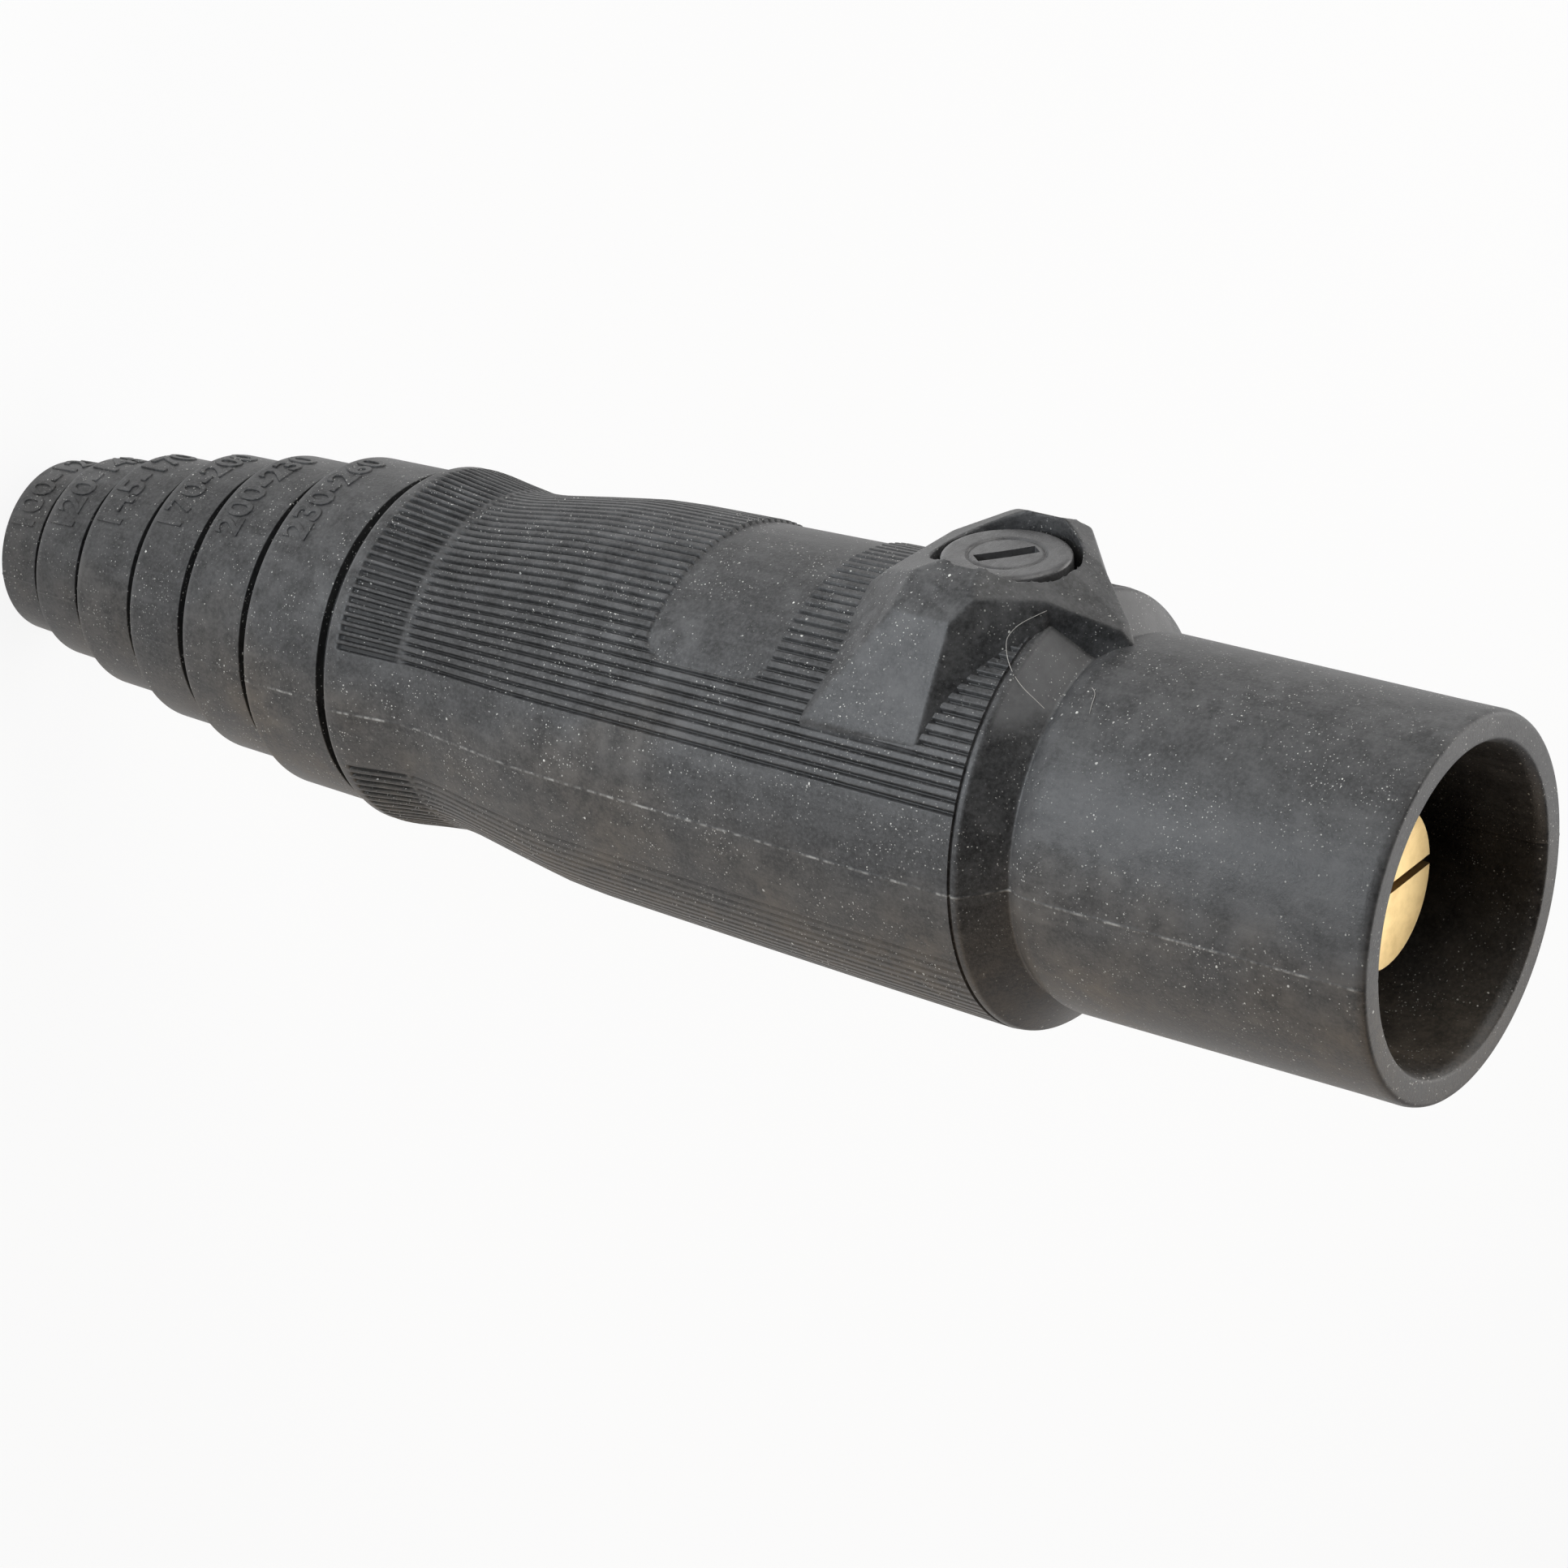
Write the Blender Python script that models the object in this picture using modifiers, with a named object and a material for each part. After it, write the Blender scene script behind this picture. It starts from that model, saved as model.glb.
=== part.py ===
"""Single-pole cam-lock plug: a moulded rubber sleeve round a turned brass contact.

The plug stands on its cable end with its axis on +Z. The origin is the centre of the
cable end, the thumb boss with its retaining screw faces -Y, and the mould's parting
plane is the XZ plane. Sizes below are in millimetres; MM turns them into metres.
"""

from math import cos, pi, radians, sin, sqrt

import bmesh
import bpy
from mathutils import Matrix, Vector

MM = 0.001
FIT = 0.3  # clearance between pieces that seat on each other

# Driving sizes of the sleeve, measured along the axis from the cable end.
LENGTH = 175.0
NOSE_RADIUS = 18.6
NOSE_START = 137.3
SHROUD_RADIUS = 15.4
CAVITY_FLOOR = 137.2
COLLAR_FRONT = 133.9
COLLAR_RADIUS = 21.75
TURN_STEPS = 60  # facets round the outside; two ribs share a facet
CORE_STEPS = 36

# Cable entry: six rings, each cut off to suit a thicker cable. Each row is where the
# ring starts, its radius at the back and front, and the width of the cutting groove.
RINGS = (
    (0.0, 9.4, 9.7, 1.2),
    (6.7, 10.85, 11.15, 1.5),
    (14.45, 12.65, 12.95, 1.75),
    (23.8, 14.4, 14.65, 1.8),
    (32.7, 15.95, 16.15, 1.85),
    (42.7, 17.6, 17.85, 1.7),
)
RING_GROOVE_DEPTH = 0.95
RIM = 0.35  # soft edge at the back of each ring
ENTRY_RADIUS = 6.3

# Grip: hand swell, waist and the long taper up to the collar, as (height, radius).
SWELL_START = 54.2
GRIP = (
    (56.2, 18.9),
    (64.2, 17.85),
    (67.0, 17.95),
    (81.5, 20.15),
    (COLLAR_FRONT - 1.3, COLLAR_RADIUS),
)

# Grip ribs: V grooves at a fixed pitch in two panels, above and below the parting plane.
RIB_PITCH = 3.0  # degrees
RIBS_PER_PANEL = 47
RIB_GROOVE_WIDTH = 0.6
RIB_GROOVE_DEPTH = 0.42
RIB_STOP = 0.12  # how far short of the boss a groove ends

# Smooth window between the waist and the boss, left plain.
WINDOW_BACK = 93.5
WINDOW_FRONT = 108.2
WINDOW_HALF_ANGLE = 50.0
WINDOW_DEPTH = 0.47
WINDOW_CORNER = 3.0

# Thumb boss, an arrowhead that points to the nose. Heights are from the axis.
BOSS_TOP = 26.6
BOSS_BACK = 113.9
BOSS_SHOULDER = 127.15
BOSS_HALF_WIDTH = 17.8
BOSS_WING_HEIGHT = 12.3
BOSS_PAD_HALF_WIDTH = 9.5
BOSS_PAD_HEIGHT = 25.1
BOSS_POINT_HALF_WIDTH = 4.8
BOSS_END = 138.9
BOSS_END_HEIGHT = 20.5
BOSS_EDGE = 0.5

# Retaining screw through the boss into the contact.
SCREW_HEIGHT = 125.95
SCREW_TOP = 25.0
SCREW_HEAD_RADIUS = 6.3
SCREW_HEAD_DEPTH = 4.5
SCREW_SHANK_RADIUS = 4.0
SCREW_END = 9.4
SCREW_RECESS_RADIUS = 7.2
SCREW_SLOT = (6.1, 1.05, 1.6)
SCREW_SLOT_TURN = 141.0
SCREW_RING_RADIUS = 3.55

# Brass contact.
PIN_TIP = 167.05
PIN_RADIUS = 7.95
FLANGE_RADIUS = 13.8
FLANGE_DEPTH = 3.2
BARREL_RADIUS = 12.4
BARREL_BACK = 84.0
CONDUCTOR_RADIUS = 8.0
CONDUCTOR_END = 116.0
SLIT_WIDTH = 1.0
SLIT_DEPTH = 20.0
CAM_NOTCH_BACK = 146.5
CAM_NOTCH_WIDTH = 5.0
CAM_NOTCH_DEPTH = 1.9
CAM_NOTCH_RISE = 2.0
CAM_NOTCH_ANGLES = (2.0, 182.0)

# Set screws that clamp the conductor.
SET_SCREW_HEIGHTS = (91.5, 104.5)
SET_SCREW_RADIUS = 4.7
SET_SCREW_LENGTH = 6.6
SOCKET_WIDTH = 4.8
SOCKET_DEPTH = 3.0


def clear_scene():
    for obj in list(bpy.data.objects):
        bpy.data.objects.remove(obj, do_unlink=True)


def make_collection(name):
    collection = bpy.data.collections.new(name)
    bpy.context.scene.collection.children.link(collection)
    return collection


def make_material(name, colour, roughness, metallic=0.0):
    material = bpy.data.materials.new(name)
    material.use_nodes = True
    shader = material.node_tree.nodes["Principled BSDF"]
    shader.inputs["Base Color"].default_value = (*colour, 1.0)
    shader.inputs["Roughness"].default_value = roughness
    shader.inputs["Metallic"].default_value = metallic
    return material


def add_object(name, mesh, collection, material=None):
    obj = bpy.data.objects.new(name, mesh)
    collection.objects.link(obj)
    if material:
        mesh.materials.append(material)
    return obj


def add_cutter(name, mesh):
    cutter = add_object(name, mesh, CUTTERS)
    cutter.hide_render = True
    cutter.display_type = "WIRE"
    return cutter


def mesh_from_bmesh(name, shape):
    bmesh.ops.recalc_face_normals(shape, faces=shape.faces)
    mesh = bpy.data.meshes.new(name)
    shape.to_mesh(mesh)
    shape.free()
    return mesh


def profile_mesh(name, points, azimuth=0.0):
    """An open outline of (radius, height) points that starts and ends on the axis."""
    mesh = bpy.data.meshes.new(name)
    across, along = cos(azimuth) * MM, sin(azimuth) * MM
    vertices = [(radius * across, radius * along, height * MM) for radius, height in points]
    edges = [(i, i + 1) for i in range(len(points) - 1)]
    mesh.from_pydata(vertices, edges, [])
    return mesh


def turn(obj, steps):
    screw = obj.modifiers.new("turn", "SCREW")
    screw.steps = steps
    screw.render_steps = steps
    screw.use_merge_vertices = True
    screw.merge_threshold = 0.00001
    screw.use_smooth_shade = False


def make_smooth_by_angle(angle):
    """A node group that shades a mesh smooth and keeps its edges over this angle crisp."""
    tree = bpy.data.node_groups.new("smooth_by_angle", "GeometryNodeTree")
    for way in ("INPUT", "OUTPUT"):
        tree.interface.new_socket("Mesh", in_out=way, socket_type="NodeSocketGeometry")
    start = tree.nodes.new("NodeGroupInput")
    end = tree.nodes.new("NodeGroupOutput")
    faces = tree.nodes.new("GeometryNodeSetShadeSmooth")
    edges = tree.nodes.new("GeometryNodeSetShadeSmooth")
    edges.domain = "EDGE"
    edges.inputs["Shade Smooth"].default_value = False
    bend = tree.nodes.new("GeometryNodeInputMeshEdgeAngle")
    crisp = tree.nodes.new("FunctionNodeCompare")
    crisp.operation = "GREATER_THAN"
    crisp.inputs["B"].default_value = angle
    tree.links.new(start.outputs[0], faces.inputs["Geometry"])
    tree.links.new(faces.outputs["Geometry"], edges.inputs["Geometry"])
    tree.links.new(bend.outputs["Unsigned Angle"], crisp.inputs["A"])
    tree.links.new(crisp.outputs["Result"], edges.inputs["Selection"])
    tree.links.new(edges.outputs["Geometry"], end.inputs[0])
    return tree


def shade_smooth(obj):
    smooth = obj.modifiers.new("smooth_by_angle", "NODES")
    smooth.node_group = SMOOTH_BY_ANGLE


def combine(obj, other, operation):
    boolean = obj.modifiers.new(other.name, "BOOLEAN")
    boolean.operation = operation
    boolean.solver = "EXACT"
    boolean.object = other


def loft(name, sections):
    """A closed body through sections that have the same number of points."""
    shape = bmesh.new()
    for group in sections:
        loops = [[shape.verts.new(Vector(p) * MM) for p in section] for section in group]
        count = len(loops[0])
        for back, front in zip(loops, loops[1:]):
            for i in range(count):
                j = (i + 1) % count
                shape.faces.new((back[i], back[j], front[j], front[i]))
        shape.faces.new(reversed(loops[0]))
        shape.faces.new(loops[-1])
    return mesh_from_bmesh(name, shape)


def cylinder_mesh(name, radius, low, high, segments=32):
    """A cylinder along +Z between two heights."""
    place = Matrix.Translation((0.0, 0.0, (low + high) / 2 * MM))
    shape = bmesh.new()
    bmesh.ops.create_cone(
        shape,
        cap_ends=True,
        segments=segments,
        radius1=radius * MM,
        radius2=radius * MM,
        depth=(high - low) * MM,
        matrix=place @ Matrix.Rotation(pi / segments, 4, "Z"),
    )
    return mesh_from_bmesh(name, shape)


def box_mesh(name, size, centre):
    shape = bmesh.new()
    bmesh.ops.create_cube(shape, size=1.0)
    bmesh.ops.scale(shape, vec=Vector(size) * MM, verts=shape.verts)
    bmesh.ops.translate(shape, vec=Vector(centre) * MM, verts=shape.verts)
    return mesh_from_bmesh(name, shape)


def face_out_from_axis(obj, height):
    """Turns a piece modelled along +Z so that it points along -Y at this height."""
    obj.rotation_euler = (pi / 2, 0.0, 0.0)
    obj.location = (0.0, 0.0, height * MM)


def grip_radius(height):
    for (low, first), (high, second) in zip(GRIP, GRIP[1:]):
        if height <= high:
            return first + (second - first) * (height - low) / (high - low)
    return GRIP[-1][1]


# Insulating sleeve.


def sleeve_outline():
    """The outer profile, from the nose's face down to the cable end."""
    front = [
        (0.0, LENGTH),
        (NOSE_RADIUS - 0.3, LENGTH),
        (NOSE_RADIUS, LENGTH - 0.4),
        (NOSE_RADIUS, NOSE_START + 1.3),
        (NOSE_RADIUS - 0.45, NOSE_START),
    ]
    lip = [
        (COLLAR_RADIUS - 0.3, COLLAR_FRONT),
        (COLLAR_RADIUS - 0.25, COLLAR_FRONT - 0.75),
        (COLLAR_RADIUS - 0.65, COLLAR_FRONT - 0.85),
        (COLLAR_RADIUS - 0.65, COLLAR_FRONT - 1.2),
    ]
    grip = [(radius, height) for height, radius in reversed(GRIP)]
    swell = [(grip[-1][0] - 0.1, SWELL_START + 0.6), (grip[-1][0] - 0.5, SWELL_START)]
    rings = []
    following = SWELL_START
    for start, back, front_radius, groove in reversed(RINGS):
        floor = front_radius - RING_GROOVE_DEPTH
        rings += [
            (floor, following),
            (floor, following - groove),
            (front_radius, following - groove),
            (back, start + RIM),
            (back - RIM, start),
        ]
        following = start
    return front + lip + grip + swell + rings + [(0.0, 0.0)]


def core_outline():
    """Shroud, contact seat and cable bore, from beyond the nose to below the cable end."""
    return [
        (0.0, LENGTH + 1.0),
        (SHROUD_RADIUS + 1.7, LENGTH + 1.0),
        (SHROUD_RADIUS, LENGTH - 0.7),
        (SHROUD_RADIUS, CAVITY_FLOOR),
        (FLANGE_RADIUS + FIT, CAVITY_FLOOR),
        (FLANGE_RADIUS + FIT, CAVITY_FLOOR - FLANGE_DEPTH),
        (BARREL_RADIUS + FIT, CAVITY_FLOOR - FLANGE_DEPTH),
        (BARREL_RADIUS + FIT, SWELL_START),
        (ENTRY_RADIUS, RINGS[1][0]),
        (ENTRY_RADIUS, -1.0),
        (0.0, -1.0),
    ]


def rib_runs(azimuth):
    """The stretches of a groove that are clear of the boss, as (back, front) heights."""
    whole = (GRIP[0][0], COLLAR_FRONT - 1.0)
    back, front = 0.0, LENGTH
    for normal, point in pad_planes():
        level = (BOSS_BACK + BOSS_SHOULDER) / 2
        for _ in range(3):
            radius = grip_radius(level)
            spot = Vector((radius * cos(azimuth), radius * sin(azimuth), 0.0))
            beyond = Vector(normal).dot(spot - Vector(point))
            if not normal[2]:
                break
            level = min(max(-beyond / normal[2], whole[0]), whole[1])
        if normal[2] > 0:
            front = min(front, level)
        elif normal[2] < 0:
            back = max(back, level)
        elif beyond > 0:
            return [whole]
    if back >= front:
        return [whole]
    runs = [(whole[0], back - RIB_STOP), (front + RIB_STOP, whole[1])]
    return [run for run in runs if run[1] - run[0] > 1.0]


def rib_blade(azimuth, back, front):
    """One blade with a V-shaped edge that follows the grip at the groove's depth."""
    heights = [back, *(height for height, _ in GRIP if back + 0.5 < height < front - 0.5), front]
    above = 0.12
    half_width = RIB_GROOVE_WIDTH / 2 * (above + RIB_GROOVE_DEPTH) / RIB_GROOVE_DEPTH
    out = Vector((cos(azimuth), sin(azimuth), 0.0))
    across = Vector((-sin(azimuth), cos(azimuth), 0.0))
    sections = []
    for height in heights:
        radius = grip_radius(height) * cos(pi / TURN_STEPS / 2)
        centre = Vector((0.0, 0.0, height))
        side = centre + out * (radius + above)
        sections.append(
            [
                centre + out * (radius - RIB_GROOVE_DEPTH),
                side + across * half_width,
                centre + out * (radius + 0.8),
                side - across * half_width,
            ]
        )
    return sections


def rib_cutter():
    half = (RIBS_PER_PANEL - 1) / 2
    blades = []
    for middle in (-90.0, 90.0):
        for i in range(RIBS_PER_PANEL):
            azimuth = radians(middle + RIB_PITCH * (i - half))
            runs = rib_runs(azimuth) if middle < 0 else [(GRIP[0][0], COLLAR_FRONT - 1.0)]
            blades += [rib_blade(azimuth, back, front) for back, front in runs]
    return add_cutter("rib_cutter", loft("rib_cutter", blades))


def window_cutter():
    steps = 24
    sections = []
    corner = WINDOW_CORNER
    for i in range(steps + 1):
        # Sections close up towards both ends, where the corners round off.
        angle = WINDOW_HALF_ANGLE * sin(pi / 2 * (2 * i / steps - 1))
        from_end = radians(WINDOW_HALF_ANGLE - abs(angle)) * grip_radius(WINDOW_BACK)
        short = max(0.0, corner - from_end)
        inset = corner - max(0.2, sqrt(max(corner**2 - short**2, 0.0)))
        azimuth = radians(angle - 90.0)
        low, high = WINDOW_BACK + inset, WINDOW_FRONT - inset
        section = []
        for radius, height in (
            (grip_radius(low) - WINDOW_DEPTH, low),
            (grip_radius(low) + 1.0, low),
            (grip_radius(high) + 1.0, high),
            (grip_radius(high) - WINDOW_DEPTH, high),
        ):
            section.append((radius * cos(azimuth), radius * sin(azimuth), height))
        sections.append(section)
    return add_cutter("window_cutter", loft("window_cutter", [sections]))


def crown_planes(top):
    """The top, which falls away to the front in two faces on each side."""
    planes = [((0, -1, 0), (0, -top, 0))]
    for side in (1, -1):
        planes += [
            ((side * 0.403, -1, 0.69), (0, -top - 4.1, SCREW_HEIGHT)),
            ((side * 0.2, -1, 0.74), (0, -top + 1.8, COLLAR_FRONT - 0.8)),
        ]
    return planes


def pad_planes():
    """Faces of the pad and its wings as (normal, point), with x across and -y as the height."""
    planes = [
        # The front under the point, and the back with two bevels that lead up to the pad.
        ((0, 0, 1), (0, 0, COLLAR_FRONT - 0.15)),
        ((0, 0, -1), (0, 0, BOSS_BACK)),
        ((0, -1, -0.86), (0, -21.4, BOSS_BACK)),
        ((0, -1, -0.42), (0, -23.25, BOSS_BACK + 2.1)),
    ]
    for side in (1, -1):
        wing_edge = (side * BOSS_HALF_WIDTH, -BOSS_WING_HEIGHT, BOSS_BACK + 0.3)
        shoulder = (side * BOSS_HALF_WIDTH, -BOSS_WING_HEIGHT, BOSS_SHOULDER)
        planes += [
            # The wing's end and steep side, then two faces that rise to the screw.
            ((side, 0, 0), wing_edge),
            ((side * 1.95, -1, 0), wing_edge),
            ((side * 0.78, -1, 0), (side * BOSS_PAD_HALF_WIDTH, -BOSS_PAD_HEIGHT, 0)),
            ((side * 0.52, -1, 0), (side * BOSS_PAD_HALF_WIDTH, -BOSS_PAD_HEIGHT, 0)),
            # The bevel behind the wing and its swept front.
            ((side * 0.844, -1.1, -1), wing_edge),
            ((side * 0.807, -0.357, 1), shoulder),
        ]
    return planes + crown_planes(BOSS_TOP)


def point_planes():
    """Faces of the arrow's point: upright sides and a leaning end, just below the pad."""
    planes = [
        ((0, 0, -1), (0, 0, COLLAR_FRONT - 4.0)),
        ((0, -0.55, 1), (0, -BOSS_END_HEIGHT, BOSS_END)),
    ]
    for side in (1, -1):
        planes.append(((side, 0, 0.75), (side * BOSS_POINT_HALF_WIDTH, 0, COLLAR_FRONT)))
    return planes + crown_planes(BOSS_TOP - 0.12)


def cut_block(name, planes):
    """A block cut to shape by planes, with its edges softened."""
    shape = bmesh.new()
    bmesh.ops.create_cube(shape, size=1.0)
    low, high = BOSS_BACK - 5.0, BOSS_END + 8.0
    foot, head = 12.0, BOSS_TOP + 5.0
    size = (2 * BOSS_HALF_WIDTH + 5.0, head - foot, high - low)
    bmesh.ops.scale(shape, vec=Vector(size) * MM, verts=shape.verts)
    centre = Vector((0.0, -(foot + head) / 2, (low + high) / 2))
    bmesh.ops.translate(shape, vec=centre * MM, verts=shape.verts)
    for normal, point in planes:
        cut = bmesh.ops.bisect_plane(
            shape,
            geom=shape.verts[:] + shape.edges[:] + shape.faces[:],
            dist=1e-7,
            plane_co=Vector(point) * MM,
            plane_no=Vector(normal),
            clear_outer=True,
        )
        rim = [part for part in cut["geom_cut"] if isinstance(part, bmesh.types.BMEdge)]
        if rim:
            bmesh.ops.contextual_create(shape, geom=rim)
    bmesh.ops.remove_doubles(shape, verts=shape.verts, dist=0.02 * MM)
    block = add_cutter(name, mesh_from_bmesh(name, shape))
    soften = block.modifiers.new("soften", "BEVEL")
    soften.width = BOSS_EDGE * MM
    soften.segments = 1
    soften.limit_method = "ANGLE"
    soften.angle_limit = radians(12.0)
    return block


def make_sleeve():
    rubber = make_material("black_rubber", (0.045, 0.045, 0.047), 0.62)
    # The facets' edges fall between ribs.
    mesh = profile_mesh("insulating_sleeve", sleeve_outline(), radians(RIB_PITCH / 2))
    sleeve = add_object("insulating_sleeve", mesh, PLUG, rubber)
    turn(sleeve, TURN_STEPS)
    core = add_cutter("core_cutter", profile_mesh("core_cutter", core_outline()))
    turn(core, CORE_STEPS)
    seat = SCREW_TOP - SCREW_HEAD_DEPTH - FIT
    recess = cylinder_mesh("recess_cutter", SCREW_RECESS_RADIUS, seat, BOSS_TOP + 3.0, 40)
    recess = add_cutter("recess_cutter", recess)
    hole = cylinder_mesh("hole_cutter", SCREW_SHANK_RADIUS + FIT, 5.0, seat + 1.0, 24)
    hole = add_cutter("hole_cutter", hole)
    for cutter in (recess, hole):
        face_out_from_axis(cutter, SCREW_HEIGHT)
    combine(sleeve, cut_block("boss_pad", pad_planes()), "UNION")
    combine(sleeve, cut_block("boss_point", point_planes()), "UNION")
    for cutter in (window_cutter(), core, recess, hole, rib_cutter()):
        combine(sleeve, cutter, "DIFFERENCE")
    return sleeve


# Brass contact.


def contact_outline():
    flange_back = CAVITY_FLOOR - FLANGE_DEPTH + FIT
    return [
        (0.0, PIN_TIP),
        (PIN_RADIUS - 0.25, PIN_TIP),
        (PIN_RADIUS, PIN_TIP - 0.25),
        (PIN_RADIUS, CAVITY_FLOOR + FIT),
        (FLANGE_RADIUS, CAVITY_FLOOR + FIT),
        (FLANGE_RADIUS, flange_back),
        (BARREL_RADIUS, flange_back),
        (BARREL_RADIUS, BARREL_BACK + 0.6),
        (BARREL_RADIUS - 0.6, BARREL_BACK),
        (CONDUCTOR_RADIUS + 0.6, BARREL_BACK),
        (CONDUCTOR_RADIUS, BARREL_BACK + 0.6),
        (CONDUCTOR_RADIUS, CONDUCTOR_END),
        (0.0, CONDUCTOR_END + 3.5),
    ]


def cam_notch_cutter():
    """The part-turn groove that locks the pin, on the side away from the boss."""
    steps = 12
    start, end = CAM_NOTCH_ANGLES
    inner = PIN_RADIUS - CAM_NOTCH_DEPTH
    sections = []
    for i in range(steps + 1):
        azimuth = radians(start + (end - start) * i / steps)
        low = CAM_NOTCH_BACK + CAM_NOTCH_RISE * i / steps
        high = low + CAM_NOTCH_WIDTH
        section = []
        for radius, height in ((inner, low), (12.0, low), (12.0, high), (inner, high)):
            section.append((radius * cos(azimuth), radius * sin(azimuth), height))
        sections.append(section)
    return add_cutter("cam_notch_cutter", loft("cam_notch_cutter", [sections]))


def make_contact():
    brass = make_material("contact_brass", (0.78, 0.57, 0.22), 0.28, 1.0)
    mesh = profile_mesh("male_contact", contact_outline())
    contact = add_object("male_contact", mesh, PLUG, brass)
    turn(contact, 48)
    slit_size = (4 * PIN_RADIUS, SLIT_WIDTH, SLIT_DEPTH + 2.0)
    slit_centre = (0.0, 0.0, PIN_TIP + 2.0 - slit_size[2] / 2)
    slit = add_cutter("slit_cutter", box_mesh("slit_cutter", slit_size, slit_centre))
    combine(contact, slit, "DIFFERENCE")
    combine(contact, cam_notch_cutter(), "DIFFERENCE")
    dimple = cylinder_mesh("dimple_cutter", SCREW_SHANK_RADIUS + FIT, SCREW_END - FIT, 15.0, 24)
    dimple = add_cutter("dimple_cutter", dimple)
    face_out_from_axis(dimple, SCREW_HEIGHT)
    combine(contact, dimple, "DIFFERENCE")
    for i, height in enumerate(SET_SCREW_HEIGHTS):
        name = f"set_screw_hole_{i + 1}"
        hole = add_cutter(name, cylinder_mesh(name, SET_SCREW_RADIUS + FIT, 5.0, 15.0, 24))
        face_out_from_axis(hole, height)
        combine(contact, hole, "DIFFERENCE")
    return contact


# Screws.


def make_retaining_screw():
    nylon = make_material("black_nylon", (0.06, 0.06, 0.062), 0.42)
    top = SCREW_TOP
    bottom = top - SCREW_HEAD_DEPTH
    ring = SCREW_RING_RADIUS
    outline = [
        (0.0, top - 0.15),
        (ring, top - 0.15),
        (ring + 0.12, top - 0.4),
        (ring + 0.35, top - 0.05),
        (SCREW_HEAD_RADIUS - 0.45, top),
        (SCREW_HEAD_RADIUS, top - 0.35),
        (SCREW_HEAD_RADIUS, bottom),
        (SCREW_SHANK_RADIUS, bottom),
        (SCREW_SHANK_RADIUS, SCREW_END + 0.6),
        (SCREW_SHANK_RADIUS - 0.6, SCREW_END),
        (0.0, SCREW_END),
    ]
    mesh = profile_mesh("retaining_screw", outline)
    screw = add_object("retaining_screw", mesh, PLUG, nylon)
    turn(screw, 40)
    length, width, depth = SCREW_SLOT
    slot = box_mesh("slot_cutter", (length, width, 2 * depth), (0.0, 0.0, 0.0))
    slot = add_cutter("slot_cutter", slot)
    slot.parent = screw
    slot.location = (0.0, 0.0, top * MM)
    slot.rotation_euler = (0.0, 0.0, radians(SCREW_SLOT_TURN))
    combine(screw, slot, "DIFFERENCE")
    face_out_from_axis(screw, SCREW_HEIGHT)
    return screw


def make_set_screws():
    steel = make_material("set_screw_steel", (0.5, 0.49, 0.47), 0.35, 1.0)
    outer = BARREL_RADIUS - 0.4
    inner = outer - SET_SCREW_LENGTH
    screws = []
    for i, height in enumerate(SET_SCREW_HEIGHTS):
        name = f"set_screw_{i + 1}"
        outline = [
            (0.0, outer),
            (SET_SCREW_RADIUS - 0.5, outer),
            (SET_SCREW_RADIUS, outer - 0.5),
            (SET_SCREW_RADIUS, inner + 0.8),
            (SET_SCREW_RADIUS - 0.8, inner),
            (0.0, inner),
        ]
        screw = add_object(name, profile_mesh(name, outline), PLUG, steel)
        turn(screw, 24)
        across_corners = SOCKET_WIDTH / sqrt(3)
        socket = f"socket_cutter_{i + 1}"
        mesh = cylinder_mesh(socket, across_corners, outer - SOCKET_DEPTH, outer + 1.0, 6)
        socket = add_cutter(socket, mesh)
        combine(screw, socket, "DIFFERENCE")
        for obj in (screw, socket):
            face_out_from_axis(obj, height)
        screws.append(screw)
    return screws


clear_scene()
PLUG = make_collection("cam_lock_plug")
CUTTERS = make_collection("cutters")
SMOOTH_BY_ANGLE = make_smooth_by_angle(radians(28.0))
for piece in (make_sleeve(), make_contact(), make_retaining_screw(), *make_set_screws()):
    shade_smooth(piece)
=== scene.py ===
"""Looks of the single-pole cam-lock plug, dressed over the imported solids.

Sizes are in millimetres and MM turns them into metres. The plug stands on its cable end
with its axis on +Z; the boss and its screw face -Y, so a direction round the axis is
given as an angle from -Y, towards +X. The camera is turned so that the plug lies across
the picture, as it does in the photograph.
"""

from math import cos, pi, radians, sin

import bmesh
import bpy
import numpy as np
from mathutils import Euler, Matrix, Vector


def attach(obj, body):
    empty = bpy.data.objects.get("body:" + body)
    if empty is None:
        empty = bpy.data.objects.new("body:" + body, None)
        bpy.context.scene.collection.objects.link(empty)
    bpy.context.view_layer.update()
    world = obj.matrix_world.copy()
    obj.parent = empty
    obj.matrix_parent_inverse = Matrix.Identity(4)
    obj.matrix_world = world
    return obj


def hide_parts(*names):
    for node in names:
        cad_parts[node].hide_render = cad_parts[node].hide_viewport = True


MM = 0.001

# Camera, solved from the photograph: place, turn and focal length on a 36 mm sensor.
CAMERA_PLACE = (340.74, -195.54, 355.67)
CAMERA_TURN = (-21.704, -54.084, 175.608)
CAMERA_LENS = 108.475

# Outer profile behind the grip: where each ring starts, its radius at the back and the
# front, the width of the groove in front of it, and the number moulded on it.
RINGS = (
    (0.0, 9.45, 9.75, 1.35, "100-120"),
    (6.7, 11.0, 11.25, 1.65, "120-145"),
    (14.45, 12.75, 13.0, 1.75, "145-170"),
    (23.8, 14.5, 14.7, 1.8, "170-200"),
    (32.7, 16.0, 16.2, 1.9, "200-230"),
    (42.7, 17.65, 17.9, 1.35, "230-260"),
)
GROOVE_DEPTH = 1.15
NUMBER_SIZE = 4.6
NUMBER_ARC = 15.0
NUMBER_TURN = 14.0  # degrees
NUMBER_MIDDLE = 2.6  # in front of the ring's back edge
SWELL_START = 54.2
GRIP_START = 56.0
GRIP_END = 132.95
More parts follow.
